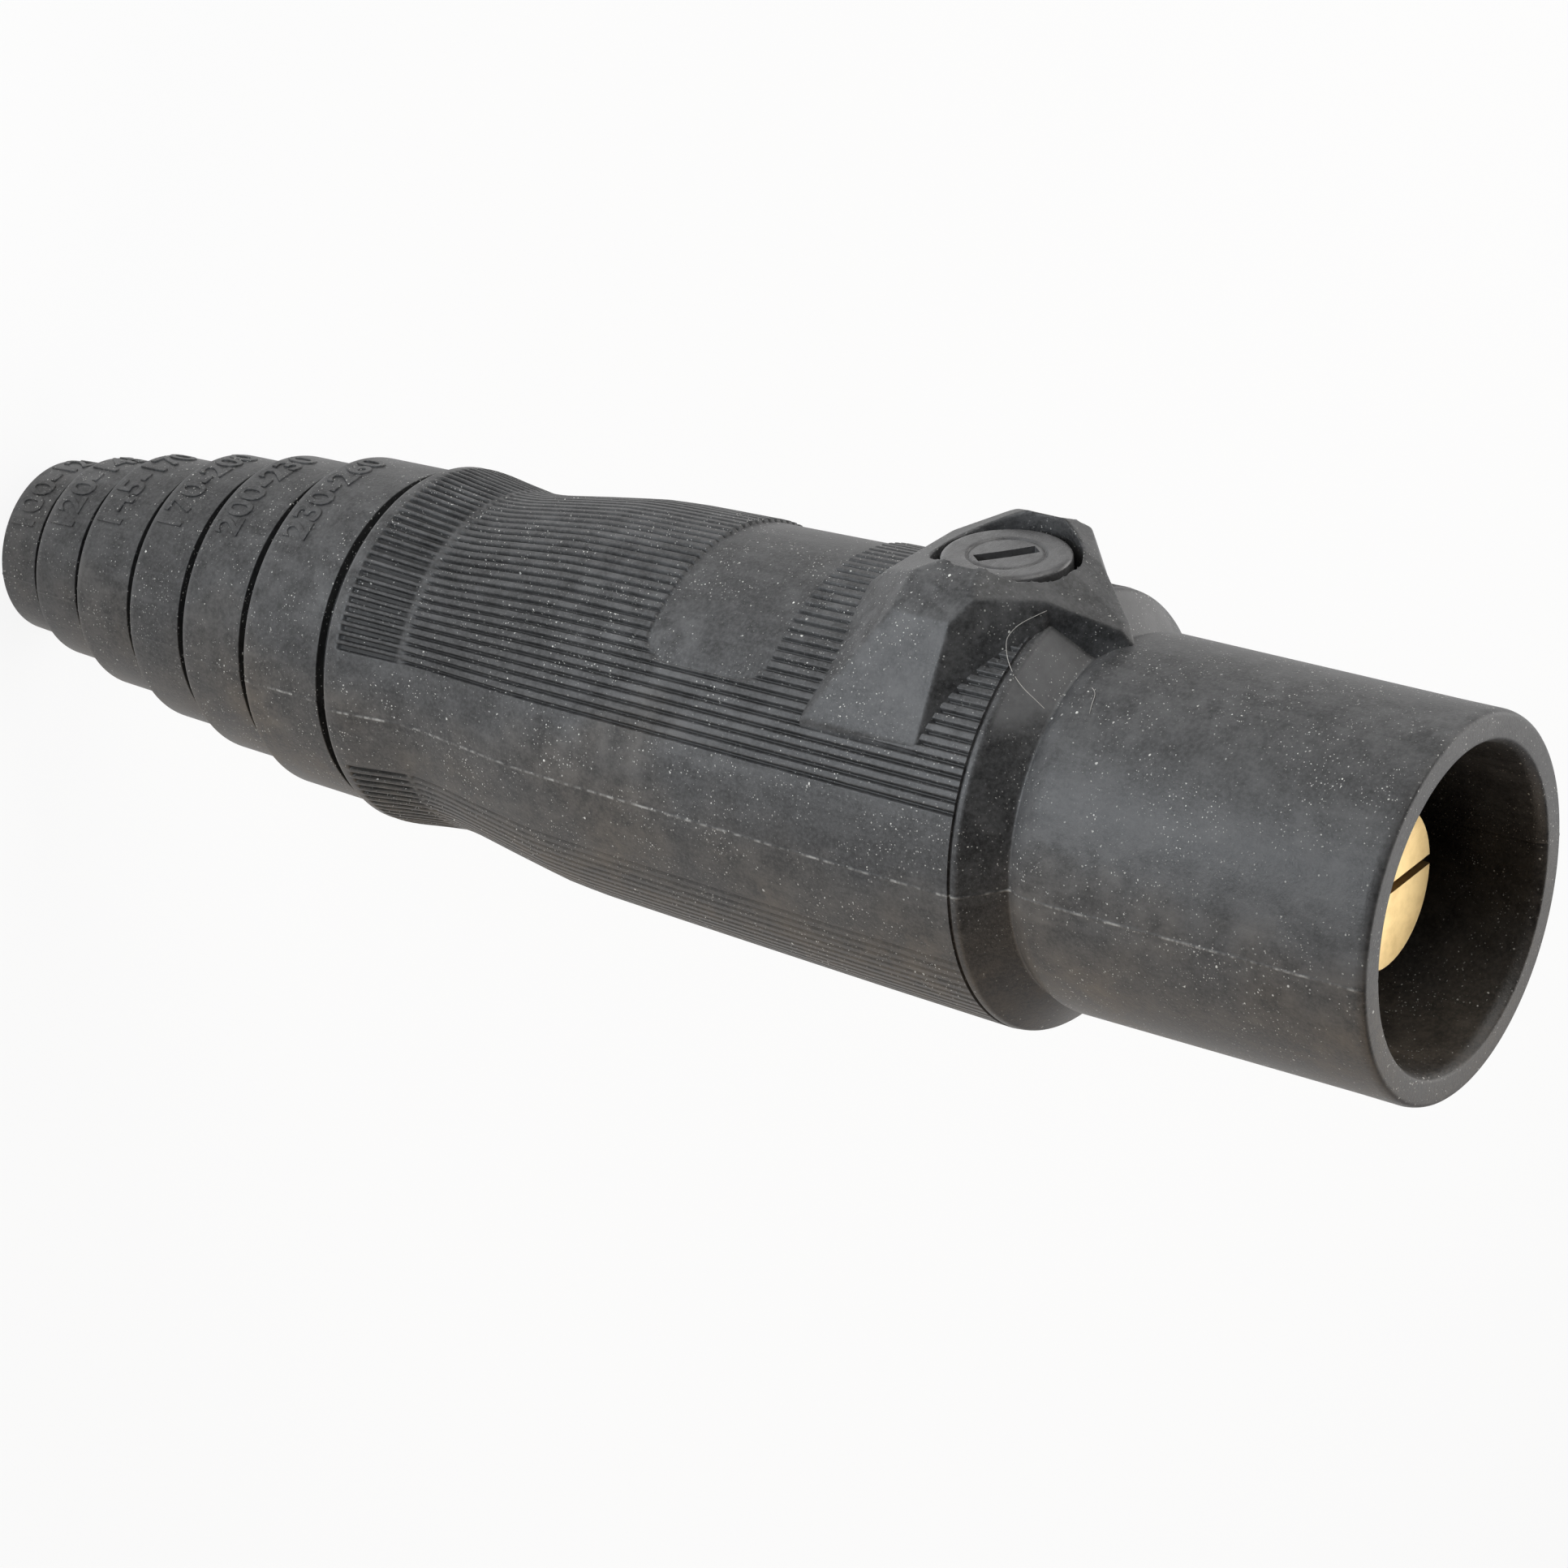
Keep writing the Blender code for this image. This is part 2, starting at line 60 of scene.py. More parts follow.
COLLAR_FRONT = 133.9
NOSE_START = 137.15
NOSE_FOOT_RADIUS = 17.6
NOSE_SHOULDER = 1.9
NOSE_RADIUS = 18.58
LENGTH = 175.0

# Inside: the cable's entry and bore, and the hollow of the nose.
ENTRY_RADIUS = 6.3
BORE_START = 7.0
BORE_END = 100.0
BORE_RADIUS = 12.7
CAVITY_FLOOR = 137.2
CAVITY_RADIUS = 15.4
SEAT_START = 134.0
SEAT_RADIUS = 14.1

# Radius of the grip over the ribs, as (height, radius).
CREST = (
    (54.2, 18.5),
    (55.0, 18.82),
    (56.4, 18.9),
    (60.2, 18.36),
    (64.2, 17.88),
    (67.0, 18.05),
    (73.5, 19.1),
    (80.0, 20.08),
    (84.5, 20.38),
    (92.5, 20.63),
    (106.7, 21.05),
    (119.0, 21.4),
    (132.95, 21.72),
)

GRIP_LIMIT = 21.74
RIB_PITCH = 3.0  # degrees
RIBS_EACH_SIDE = 23
RIB_DEPTH = 0.47
RIB_HALF_WIDTH = 0.86  # degrees
CHANNEL_END = 63.9  # the grooves behind it have flat floors
WORN_AWAY = 0.72  # share of the ribs' depth lost underneath
WINDOW = (93.5, 108.2, 50.0, 3.0, 0.36)  # back, front, half angle, corner, depth
FLASH_HEIGHT = 0.07
FLASH_WIDTH = 0.13
FLASH_COLUMNS = np.array([-1.4, -0.9, -0.55, -0.3, 0.0, 0.3, 0.55, 0.9, 1.4])  # degrees

# Boss.
BOSS_TOP = 26.6
BOSS_BACK = 113.9
BOSS_SHOULDER = 127.15
BOSS_HALF_WIDTH = 17.8
BOSS_WING_HEIGHT = 12.3
BOSS_PAD_HALF_WIDTH = 9.5
BOSS_PAD_HEIGHT = 25.1
BOSS_POINT_HALF_WIDTH = 4.8
BOSS_END = 138.9
BOSS_END_HEIGHT = 20.5
SCREW_HEIGHT = 125.95
SCREW_TOP = 25.0
SCREW_RADIUS = 6.3
SCREW_FOOT = 9.6
SHANK_RADIUS = 4.0
HEAD_DEPTH = 4.5
SLOT_SIZE = (6.1, 1.6, 3.0)
SLOT_TURN = 141.0  # degrees
RECESS_RADIUS = 7.15

# Linear colours.
RUBBER = (0.024, 0.024, 0.0247, 1.0)
# Painted warm bounce light: the rubber's colour underneath.
RUBBER_PAINTED_BOUNCE = (0.027, 0.0238, 0.0205, 1.0)
DUST = (0.142, 0.142, 0.144, 1.0)
# Painted warm bounce light: the dust's colour underneath.
DUST_PAINTED_BOUNCE = (0.142, 0.12, 0.097, 1.0)
SPECK = (0.8, 0.79, 0.75, 1.0)
# Painted shade in the grooves.
GROOVE_PAINTED_SHADE = (0.004, 0.004, 0.004, 1.0)
NYLON = (0.068, 0.067, 0.068, 1.0)
BRASS = (0.9, 0.68, 0.34, 1.0)
TARNISH = (0.55, 0.38, 0.17, 1.0)
STEEL_DARK = (0.42, 0.41, 0.4, 1.0)
STEEL_PALE = (0.58, 0.57, 0.55, 1.0)
LINT_DARK = (0.42, 0.4, 0.37, 1.0)
LINT_PALE = (0.7, 0.68, 0.64, 1.0)
FLOOR_DARK = (0.86, 0.86, 0.86, 1.0)
FLOOR_PALE = (0.9, 0.9, 0.9, 1.0)
WORLD_BRIGHT = (0.55, 0.56, 0.58, 1.0)
WORLD_DIM = (0.02, 0.02, 0.02, 1.0)
DIM_SIDE = (0.724, -0.427, 0.55)

# Each lamp: name, place, what it points at, size, power in watts and colour.
LAMPS = (
    ("top_box", (-0.18, -0.8, 0.52), (0.0, 0.0, 0.1), 0.7, 4.35, (1.0, 0.985, 0.955)),
    ("back_box", (-0.75, -0.1, 0.55), (0.0, 0.0, 0.1), 0.6, 3.0, (1.0, 0.98, 0.95)),
    ("low_fill", (0.45, 0.75, 0.35), (0.0, 0.0, 0.1), 0.6, 1.9, (1.0, 0.8, 0.6)),
    ("side_panel", (0.135, -0.08, 0.06), (0.0, 0.0, 0.1), 0.16, 0.1, (0.93, 0.97, 1.0)),
    ("nose_spot", (0.12, -0.071, 0.075), (0.0, 0.0, 0.14), 0.03, 0.046, (0.86, 0.93, 1.0)),
    ("front_spot", (0.12, -0.071, 0.1), (0.0, 0.0, 0.16), 0.03, 0.022, (0.86, 0.93, 1.0)),
    ("nose_box", (-0.29, 0.17, 0.47), (0.0, 0.0, 0.17), 0.3, 0.62, (1.0, 0.98, 0.95)),
)


# Mesh tools.


def add_object(name, data):
    obj = bpy.data.objects.new(name, data)
    bpy.context.scene.collection.objects.link(obj)
    return obj


def object_from_shape(name, shape):
    mesh = bpy.data.meshes.new(name)
    shape.to_mesh(mesh)
    shape.free()
    return add_object(name, mesh)


def new_object(name, vertices, faces, material, smooth=True):
    mesh = bpy.data.meshes.new(name)
    mesh.from_pydata([tuple(v) for v in vertices], [], [tuple(f) for f in faces])
    mesh.validate()
    obj = add_object(name, mesh)
    mesh.materials.append(material)
    if smooth:
        mesh.shade_smooth()
    return obj


def finish_piece(obj, replaces=None):
    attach(obj, "root")
    if replaces:
        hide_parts(replaces)
    return obj


def rounded(corners):
    """The outline through (height, radius, rounding) corners, as an array of points."""
    points = []
    count = len(corners)
    for i, (height, radius, size) in enumerate(corners):
        here = np.array((height, radius))
        if i in (0, count - 1) or size <= 0:
            points.append(here)
            continue
        before = np.array(corners[i - 1][:2]) - here
        after = np.array(corners[i + 1][:2]) - here
        back, front = np.linalg.norm(before), np.linalg.norm(after)
        size = min(size, 0.48 * back, 0.48 * front)
        start, end = here + before / back * size, here + after / front * size
        for t in np.linspace(0.0, 1.0, 5):
            points.append((1 - t) ** 2 * start + 2 * t * (1 - t) * here + t * t * end)
    return np.array(points)


def grid_faces(rows, columns):
    """Faces of a grid whose last column joins its first."""
    below = np.arange(rows - 1)[:, None] * columns
    above = below + columns
    here = np.arange(columns)[None, :]
    following = (here + 1) % columns
    corners = [below + here, below + following, above + following, above + here]
    return np.stack(corners, axis=-1).reshape(-1, 4)


def round_the_axis(heights, radii, angles):
    """Points in metres; angles are in degrees from -Y towards +X."""
    turn = np.radians(angles)
    x = radii * np.sin(turn)
    y = -radii * np.cos(turn)
    return np.stack([x, y, np.broadcast_to(heights, x.shape)], axis=-1).reshape(-1, 3) * MM


def flash(angles, radii):
    """The thin raised line where the mould's halves meet, at 90 degrees each side."""
    from_line = np.abs(np.abs((angles + 360.0) % 360.0 - 180.0) - 90.0)
    return FLASH_HEIGHT * np.exp(-((np.radians(from_line) * radii / FLASH_WIDTH) ** 2))


def turned_columns():
    """Angles of the columns: even, and closer together across the flash."""
    even = np.linspace(-180.0, 180.0, 176, endpoint=False)
    keep = np.abs(np.abs(even) - 90.0) > 1.7
    return np.sort(np.concatenate([even[keep], FLASH_COLUMNS - 90.0, FLASH_COLUMNS + 90.0]))


def turned(name, outline, material):
    angles = turned_columns()[None, :]
    heights, radii = outline[:, 0:1], outline[:, 1:2]
    radii = np.repeat(radii, angles.shape[1], axis=1)
    radii = np.minimum(radii + flash(angles, radii), GRIP_LIMIT)
    vertices = round_the_axis(heights, radii, np.broadcast_to(angles, radii.shape))
    faces = grid_faces(len(outline), angles.shape[1])
    return new_object(name, vertices, faces, material)


# Sleeve.


def tail_outline():
    corners = [
        (BORE_END, BORE_RADIUS, 0),
        (SWELL_START, BORE_RADIUS, 1.0),
        (BORE_START, ENTRY_RADIUS, 1.0),
        (0.0, ENTRY_RADIUS, 0.4),
    ]
    for i, (start, back, front, groove, _) in enumerate(RINGS):
        following = RINGS[i + 1][0] if i + 1 < len(RINGS) else SWELL_START
        floor = front - GROOVE_DEPTH
        corners += [
            (start, back, 0.34),
            (following - groove, front, 0.12),
            (following - groove + 0.05, floor, 0.2),
            (following, floor, 0.12),
        ]
    corners += [(SWELL_START, CREST[0][1] - 0.25, 0.4), (SWELL_START + 0.45, CREST[0][1], 0)]
    return rounded(corners)


def nose_outline():
    lip = CREST[-1][1]
    corners = [
        (GRIP_END, lip, 0),
        (GRIP_END + 0.05, lip - 0.32, 0.08),
        (GRIP_END + 0.28, lip - 0.32, 0.08),
        (GRIP_END + 0.33, lip - 0.03, 0.12),
        (COLLAR_FRONT, lip - 0.12, 0.25),
        (NOSE_START, NOSE_FOOT_RADIUS, 0.3),
        (NOSE_START + NOSE_SHOULDER, NOSE_RADIUS, NOSE_SHOULDER),
        (LENGTH - 5.0, NOSE_RADIUS, 1.0),
        (LENGTH - 0.8, NOSE_RADIUS + 0.05, 0.3),
        (LENGTH, NOSE_RADIUS - 0.2, 0.45),
        (LENGTH, CAVITY_RADIUS + 0.55, 0.25),
        (LENGTH - 0.9, CAVITY_RADIUS + 0.02, 0.6),
        (CAVITY_FLOOR, CAVITY_RADIUS, 0.6),
        (CAVITY_FLOOR, SEAT_RADIUS, 0.2),
        (SEAT_START, SEAT_RADIUS, 0),
    ]
    return rounded(corners)


def crest_radius(heights):
    """The crest's profile with its corners eased, apart from the fold at the waist."""
    known = np.array(CREST)
    eased = sum(np.interp(heights + d, known[:, 0], known[:, 1]) for d in (-0.8, 0.0, 0.8)) / 3
    sharp = np.interp(heights, known[:, 0], known[:, 1])
    near_fold = np.clip(1.0 - np.abs(heights - 64.2) / 2.0, 0.0, 1.0)
    at_ends = (heights < 55.5) | (heights > 132.0)
    return np.where(at_ends, sharp, eased + (sharp - eased) * near_fold)


def grip_columns():
    near_rib = np.array([-1.08, -0.92, -0.78, -0.6, -0.3, 0.0, 0.3, 0.6, 0.78, 0.92, 1.08, 1.5])
    ribs = [k * RIB_PITCH + near_rib for k in range(-RIBS_EACH_SIDE, RIBS_EACH_SIDE + 1)]
    panel = np.concatenate(ribs)
    panel = np.concatenate([panel, [-50.15, -49.85, -49.6, 49.6, 49.85, 50.15]])
    wide = [np.arange(72.0, 88.0, 2.0), 90.0 + FLASH_COLUMNS, np.arange(92.0, 109.0, 2.0)]
    band = np.concatenate(wide)
    angles = np.concatenate([panel, panel + 180.0, band, -band])
    return np.unique(np.round((angles + 180.0) % 360.0 - 180.0, 3))


def grip_rows():
    back, front = WINDOW[:2]
    edge = np.array([-0.25, -0.12, 0.0, 0.12, 0.25, 0.45, 0.7, 1.0, 1.4, 1.9, 2.5, 3.1])
    ends = np.array([0.0, 0.12, 0.3, 0.55])
    rows = [
        np.array([54.65, 55.0, 55.5]),
        GRIP_START + ends,
        np.array([57.5, 59.0, 60.5, 62.0, 62.6, 63.0, 63.4, 63.8, 64.2, 64.7, 65.4, 66.4, 67.6]),
        np.arange(69.0, 93.0, 2.2),
        back + edge,
        np.arange(back + 4.0, front - 3.5, 2.2),
        front - edge,
        np.arange(109.5, 132.0, 2.5),
        GRIP_END - ends,
    ]
    return np.unique(np.round(np.concatenate(rows), 3))


def smooth_step(x):
    x = np.clip(x, 0.0, 1.0)
    return x * x * (3.0 - 2.0 * x)


def make_grip(material):
    angles, heights = np.meshgrid(grip_columns(), grip_rows())
    crest = crest_radius(heights)
    # Grooves in two panels, one on each side of the parting plane.
    in_panel = (angles + 90.0) % 180.0 - 90.0
    number = np.round(in_panel / RIB_PITCH)
    off = np.abs(in_panel - number * RIB_PITCH) / RIB_HALF_WIDTH
    groove = 0.5 + 0.5 * np.cos(pi * np.clip(off, 0.0, 1.0))
    channel = smooth_step((1.25 - off) / 0.45) * (1 - 0.85 * smooth_step((heights - 62.6) / 0.8))
    groove = np.where(heights < CHANNEL_END, channel, groove)
    groove = np.where(np.abs(number) <= RIBS_EACH_SIDE, groove, 0.0)
    groove *= smooth_step((heights - GRIP_START) / 0.3)
    underneath = np.abs(angles) > 90.0
    groove *= np.where(underneath, 1.0 - WORN_AWAY * smooth_step((heights - 62.0) / 5.0), 1.0)
    # The window is sunk a little, with rounded corners.
    back, front, half_angle, corner, depth = WINDOW
    across = np.radians(np.abs(angles) - half_angle) * crest + corner
    along = np.abs(heights - (back + front) / 2) - (front - back) / 2 + corner
    outside = np.hypot(np.maximum(across, 0), np.maximum(along, 0))
    distance = outside + np.minimum(np.maximum(across, along), 0) - corner
    window = smooth_step(0.5 - distance / 0.24)
    radii = crest - RIB_DEPTH * groove * (1 - window) - depth * window
    radii = np.minimum(radii + flash(angles, crest), GRIP_LIMIT)
    # The skin drops away below the screw's recess, where the boss covers it.
    under_boss = (np.abs(np.radians(angles) * crest) < 8.6) & (np.abs(heights - SCREW_HEIGHT) < 6.6)
    radii = np.where(under_boss, radii - 2.0, radii)
    vertices = round_the_axis(heights, radii, angles)
    faces = grid_faces(*heights.shape)
    grip = new_object("sleeve_grip", vertices, faces, material)
    # The grooves' depth, which the rubber uses for painted shade between the ribs.
    value = grip.data.attributes.new("groove", "FLOAT", "POINT")
    value.data.foreach_set("value", (groove * (1 - window)).ravel().astype(np.float32))
    return grip


# Boss.


def crown_planes(top):
    """The top, which falls away to the front in two faces on each side."""
    planes = [((0, -1, 0), (0, -top, 0))]
    for side in (1, -1):
        planes += [
            ((side * 0.403, -1, 0.69), (0, -top - 4.1, SCREW_HEIGHT)),
            ((side * 0.2, -1, 0.74), (0, -top + 1.8, COLLAR_FRONT - 0.8)),
        ]
    return planes


def pad_planes():
    planes = [
        ((0, 0, 1), (0, 0, COLLAR_FRONT - 0.15)),
        ((0, 0, -1), (0, 0, BOSS_BACK)),
        ((0, -1, -0.86), (0, -21.4, BOSS_BACK)),
        ((0, -1, -0.42), (0, -23.25, BOSS_BACK + 2.1)),
    ]
    for side in (1, -1):
        wing = (side * BOSS_HALF_WIDTH, -BOSS_WING_HEIGHT, BOSS_BACK + 0.3)
        shoulder = (side * BOSS_HALF_WIDTH, -BOSS_WING_HEIGHT, BOSS_SHOULDER)
        eave = (side * BOSS_PAD_HALF_WIDTH, -BOSS_PAD_HEIGHT, 0)
        planes += [
            ((side, 0, 0), wing),
            ((side * 1.95, -1, 0), wing),
            ((side * 0.78, -1, 0), eave),
            ((side * 0.52, -1, 0), eave),
            ((side * 0.844, -1.1, -1), wing),
            ((side * 0.807, -0.357, 1), shoulder),
            # Eases the corner where the roof meets the bevel behind it.
            ((side * 0.62, -1.4, -0.62), (side * 9.2, -24.75, 120.3)),
        ]
    return planes + crown_planes(BOSS_TOP)


def point_planes():
    end = (0, -BOSS_END_HEIGHT, BOSS_END)
    planes = [((0, 0, -1), (0, 0, COLLAR_FRONT - 6.0)), ((0, -0.55, 1), end)]
    for side in (1, -1):
        planes.append(((side, 0, 0.75), (side * BOSS_POINT_HALF_WIDTH, 0, COLLAR_FRONT)))
    return planes + crown_planes(BOSS_TOP - 0.05)


def cut_block(name, planes):
    shape = bmesh.new()
    low, high, foot, head = BOSS_BACK - 5.0, 147.0, 9.0, 32.0
    size = Vector((2 * BOSS_HALF_WIDTH + 5.0, head - foot, high - low)) * MM
    centre = Vector((0.0, -(foot + head) / 2, (low + high) / 2)) * MM
    bmesh.ops.create_cube(shape, size=1.0)
    bmesh.ops.scale(shape, vec=size, verts=shape.verts)
    bmesh.ops.translate(shape, vec=centre, verts=shape.verts)
    for normal, point in planes:
        cut = bmesh.ops.bisect_plane(
            shape,
            geom=shape.verts[:] + shape.edges[:] + shape.faces[:],
            dist=1e-7,
            plane_co=Vector(point) * MM,
            plane_no=Vector(normal),
            clear_outer=True,
        )
        rim = [part for part in cut["geom_cut"] if isinstance(part, bmesh.types.BMEdge)]
        if rim:
            bmesh.ops.contextual_create(shape, geom=rim)
    bmesh.ops.recalc_face_normals(shape, faces=shape.faces)
    return object_from_shape(name, shape)


def cylinder(name, radius, low, high):
    """A cylinder that points out of the boss, between two heights from the axis."""
    shape = bmesh.new()
    middle = Matrix.Translation((0.0, -(low + high) / 2 * MM, SCREW_HEIGHT * MM))
    bmesh.ops.create_cone(
        shape,
        cap_ends=True,
        segments=96,
        radius1=radius * MM,
        radius2=radius * MM,
        depth=(high - low) * MM,
        matrix=middle @ Matrix.Rotation(pi / 2, 4, "X"),
    )
    return object_from_shape(name, shape)


def boolean(obj, other, operation):
    modifier = obj.modifiers.new(other.name, "BOOLEAN")
    modifier.operation = operation
    modifier.solver = "EXACT"
    modifier.object = other


def apply_modifiers(obj):
    depsgraph = bpy.context.evaluated_depsgraph_get()
    bpy.context.view_layer.update()
    mesh = bpy.data.meshes.new_from_object(obj.evaluated_get(depsgraph))
    obj.modifiers.clear()
    obj.data = mesh


def make_boss(material):
    boss = cut_block("sleeve_boss", pad_planes())
    helpers = [cut_block("point", point_planes())]
    boolean(boss, helpers[0], "UNION")
    helpers.append(cylinder("recess", RECESS_RADIUS, 20.2, 33.0))
    boolean(boss, helpers[1], "DIFFERENCE")
    remesh = boss.modifiers.new("even", "REMESH")
    remesh.mode = "VOXEL"
    remesh.voxel_size = 0.2 * MM
    smooth = boss.modifiers.new("soften", "SMOOTH")
    smooth.factor = 0.5
    smooth.iterations = 9
    apply_modifiers(boss)
    for helper in helpers:
        bpy.data.objects.remove(helper)
    boss.data.materials.append(material)
    boss.data.shade_smooth()
    return boss


# Screw.


def lathe(name, corners, segments, material):
    """A turned piece along +Z from (height, radius, rounding) corners."""
    outline = rounded(corners)
    angles = np.linspace(-180.0, 180.0, segments, endpoint=False)[None, :]
    radii = np.repeat(outline[:, 1:2], segments, axis=1)
    vertices = round_the_axis(outline[:, 0:1], radii, np.broadcast_to(angles, radii.shape))
    obj = new_object(name, vertices, grid_faces(len(outline), segments), material)
    shape = bmesh.new()
    shape.from_mesh(obj.data)
    bmesh.ops.remove_doubles(shape, verts=shape.verts, dist=1e-6)
    bmesh.ops.holes_fill(shape, edges=shape.edges, sides=0)
    bmesh.ops.recalc_face_normals(shape, faces=shape.faces)
    shape.to_mesh(obj.data)
    shape.free()
    return obj


def box_cutter(name, size, matrix):
    shape = bmesh.new()
    bmesh.ops.create_cube(shape, size=1.0)
    bmesh.ops.scale(shape, vec=Vector(size) * MM, verts=shape.verts)
    bmesh.ops.transform(shape, matrix=matrix, verts=shape.verts)
    return object_from_shape(name, shape)


def ease_edges(obj, width):
    bevel = obj.modifiers.new("ease", "BEVEL")
    bevel.width = width * MM
    bevel.segments = 2
    bevel.limit_method = "ANGLE"
    bevel.angle_limit = radians(35.0)
    bevel.harden_normals = False


def make_screw(material):
    top = SCREW_TOP
    corners = [
        (SCREW_FOOT, 0.0, 0),
        (SCREW_FOOT, SHANK_RADIUS - 0.4, 0.3),
        (SCREW_FOOT + 0.6, SHANK_RADIUS, 0.3),
        (top - HEAD_DEPTH, SHANK_RADIUS, 0.2),
        (top - HEAD_DEPTH, SCREW_RADIUS, 0.2),
        (top - 0.32, SCREW_RADIUS, 0.25),
        (top, SCREW_RADIUS - 0.45, 0.3),
        (top - 0.04, 3.95, 0.3),
        (top - 0.36, 3.72, 0.12),
        (top - 0.1, 3.45, 0.3),
        (top - 0.16, 0.0, 0),
    ]
    screw = lathe("screw_head", corners, 128, material)
    turn = Matrix.Rotation(radians(SLOT_TURN), 4, "Z")
    place = Matrix.Translation((0.0, 0.0, top * MM))
    slot = box_cutter("slot", SLOT_SIZE, place @ turn)
    boolean(screw, slot, "DIFFERENCE")
    apply_modifiers(screw)
    bpy.data.objects.remove(slot)
    out = Matrix.Translation((0.0, 0.0, SCREW_HEIGHT * MM)) @ Matrix.Rotation(pi / 2, 4, "X")
    screw.data.transform(out)
    ease_edges(screw, 0.07)
    screw.data.shade_smooth()
    screw.data.set_sharp_from_angle(angle=radians(30.0))
    return screw


# Small details.


def strand(name, points, radius, material):
    curve = bpy.data.curves.new(name, "CURVE")
    curve.dimensions = "3D"
    curve.bevel_depth = radius * MM
    curve.bevel_resolution = 1
    spline = curve.splines.new("NURBS")
    spline.points.add(len(points) - 1)
    for knot, point in zip(spline.points, points):
        knot.co = (*(Vector(point) * MM), 1.0)
    spline.use_endpoint_u = True
    spline.order_u = 4
    curve.materials.append(material)
    return add_object(name, curve)


def ring_number(index, material):
    """A plain size number that stands up from its ring and follows it round."""
    start, back, front, groove, text = RINGS[index]
    following = RINGS[index + 1][0] if index + 1 < len(RINGS) else SWELL_START
    words = bpy.data.curves.new(f"number_{index}", "FONT")
    words.body = text
    words.size = NUMBER_SIZE
    words.align_x = "CENTER"
    words.align_y = "CENTER"
    words.extrude = 0.12
    words.offset = 0.03
    words.bevel_depth = 0.07
    words.bevel_resolution = 1
    words.resolution_u = 3
    source = add_object("words", words)
    depsgraph = bpy.context.evaluated_depsgraph_get()
    bpy.context.view_layer.update()
    mesh = bpy.data.meshes.new_from_object(source.evaluated_get(depsgraph))
    bpy.data.objects.remove(source)
    middle = start + NUMBER_MIDDLE
    wide = NUMBER_ARC / (2 * max(vertex.co.x for vertex in mesh.vertices))
    for vertex in mesh.vertices:
        x, y, z = vertex.co
        height = middle - y
        radius = back + (front - back) * (height - start) / (following - groove - start)
        angle = radians(NUMBER_TURN) - x * wide / radius
        out = radius + z
        vertex.co = Vector((sin(angle) * out, -cos(angle) * out, height)) * MM
    mesh.materials.clear()
    mesh.materials.append(material)
    return add_object(f"ring_number_{index}", mesh)


# Materials.


class Graph:
    """Adds nodes to a tree; an input is a value or another node's output."""

    def __init__(self, tree):
        self.tree = tree

    def add(self, kind, inputs=(), output=0, **settings):
        node = self.tree.nodes.new(kind)
        for name, value in settings.items():
            setattr(node, name, value)
        for name, value in dict(inputs).items():
            if isinstance(value, bpy.types.NodeSocket):
                self.tree.links.new(value, node.inputs[name])
            else:
                node.inputs[name].default_value = value
        return node.outputs[output]

    def math(self, operation, a, b=0.0, c=0.0, clamp=False):
        return self.add(
            "ShaderNodeMath", {0: a, 1: b, 2: c}, operation=operation, use_clamp=clamp
        )

    def times(self, a, b):
        return self.math("MULTIPLY", a, b)

    def most(self, a, b):
        return self.math("MAXIMUM", a, b)

    def away(self, value, centre):
        """How far a value is from the centre, to either side."""
        return self.math("ABSOLUTE", self.math("SUBTRACT", value, centre))

    def noise(self, place, scale, detail=3.0, roughness=0.55):
        values = {"Vector": place, "Scale": scale, "Detail": detail, "Roughness": roughness}
        return self.add("ShaderNodeTexNoise", values)

    def stretch(self, value, low, high):
        return self.add("ShaderNodeMapRange", {0: value, 1: low, 2: high, 3: 0.0, 4: 1.0})

    def mix(self, factor, a, b):
        values = {"Factor": factor, 6: a, 7: b}
        return self.add("ShaderNodeMix", values, output=2, data_type="RGBA")

    def bump(self, height, strength, distance):
        values = {"Strength": strength, "Distance": distance * MM, "Height": height}
        return self.add("ShaderNodeBump", values)

    def millimetres(self, scale=(1.0, 1.0, 1.0)):
        place = self.add("ShaderNodeTexCoord", output="Object")
        scale = tuple(1000.0 * s for s in scale)
        return self.add("ShaderNodeMapping", {"Vector": place, "Scale": scale})

    def bent(self, place, scale, reach):
        """The same place, pushed about by noise, so that dots and lines get uneven outlines."""
        shift = self.add("ShaderNodeTexNoise", {"Vector": place, "Scale": scale}, output=1)
        middle = self.add("ShaderNodeVectorMath", {0: shift, 1: (0.5, 0.5, 0.5)}, operation="SUBTRACT")
        push = self.add("ShaderNodeVectorMath", {0: middle, "Scale": reach}, operation="SCALE")
        return self.add("ShaderNodeVectorMath", {0: place, 1: push})

    def parts(self, place):
        node = self.tree.nodes.new("ShaderNodeSeparateXYZ")
        self.tree.links.new(place, node.inputs[0])
        return node.outputs[:]

    def specks(self, place, cell, share, smallest, largest):
        """Scattered dots: 0 off them and up to 1 on them. Sizes are in millimetres."""
        node = self.tree.nodes.new("ShaderNodeTexVoronoi")
        self.tree.links.new(place, node.inputs["Vector"])
        node.inputs["Scale"].default_value = 1.0 / cell
        node.inputs["Randomness"].default_value = 1.0
        parts = self.tree.nodes.new("ShaderNodeSeparateColor")
        self.tree.links.new(node.outputs["Color"], parts.inputs[0])
        chance, other = parts.outputs[0], parts.outputs[1]
        size = self.add(
            "ShaderNodeMapRange",
            {0: chance, 1: 1.0 - share, 2: 1.0, 3: smallest / cell, 4: largest / cell},
        )
        shown = self.math("GREATER_THAN", chance, 1.0 - share)
        shown = self.times(shown, self.math("MULTIPLY_ADD", other, 0.7, 0.3))
        inside = self.math("SUBTRACT", size, node.outputs["Distance"])
        inside = self.math("MULTIPLY", inside, 3.0 * cell / smallest, clamp=True)
        return self.times(inside, shown)


def new_material(name):
    material = bpy.data.materials.new(name)
    material.use_nodes = True
    return material, Graph(material.node_tree), material.node_tree.nodes["Principled BSDF"]


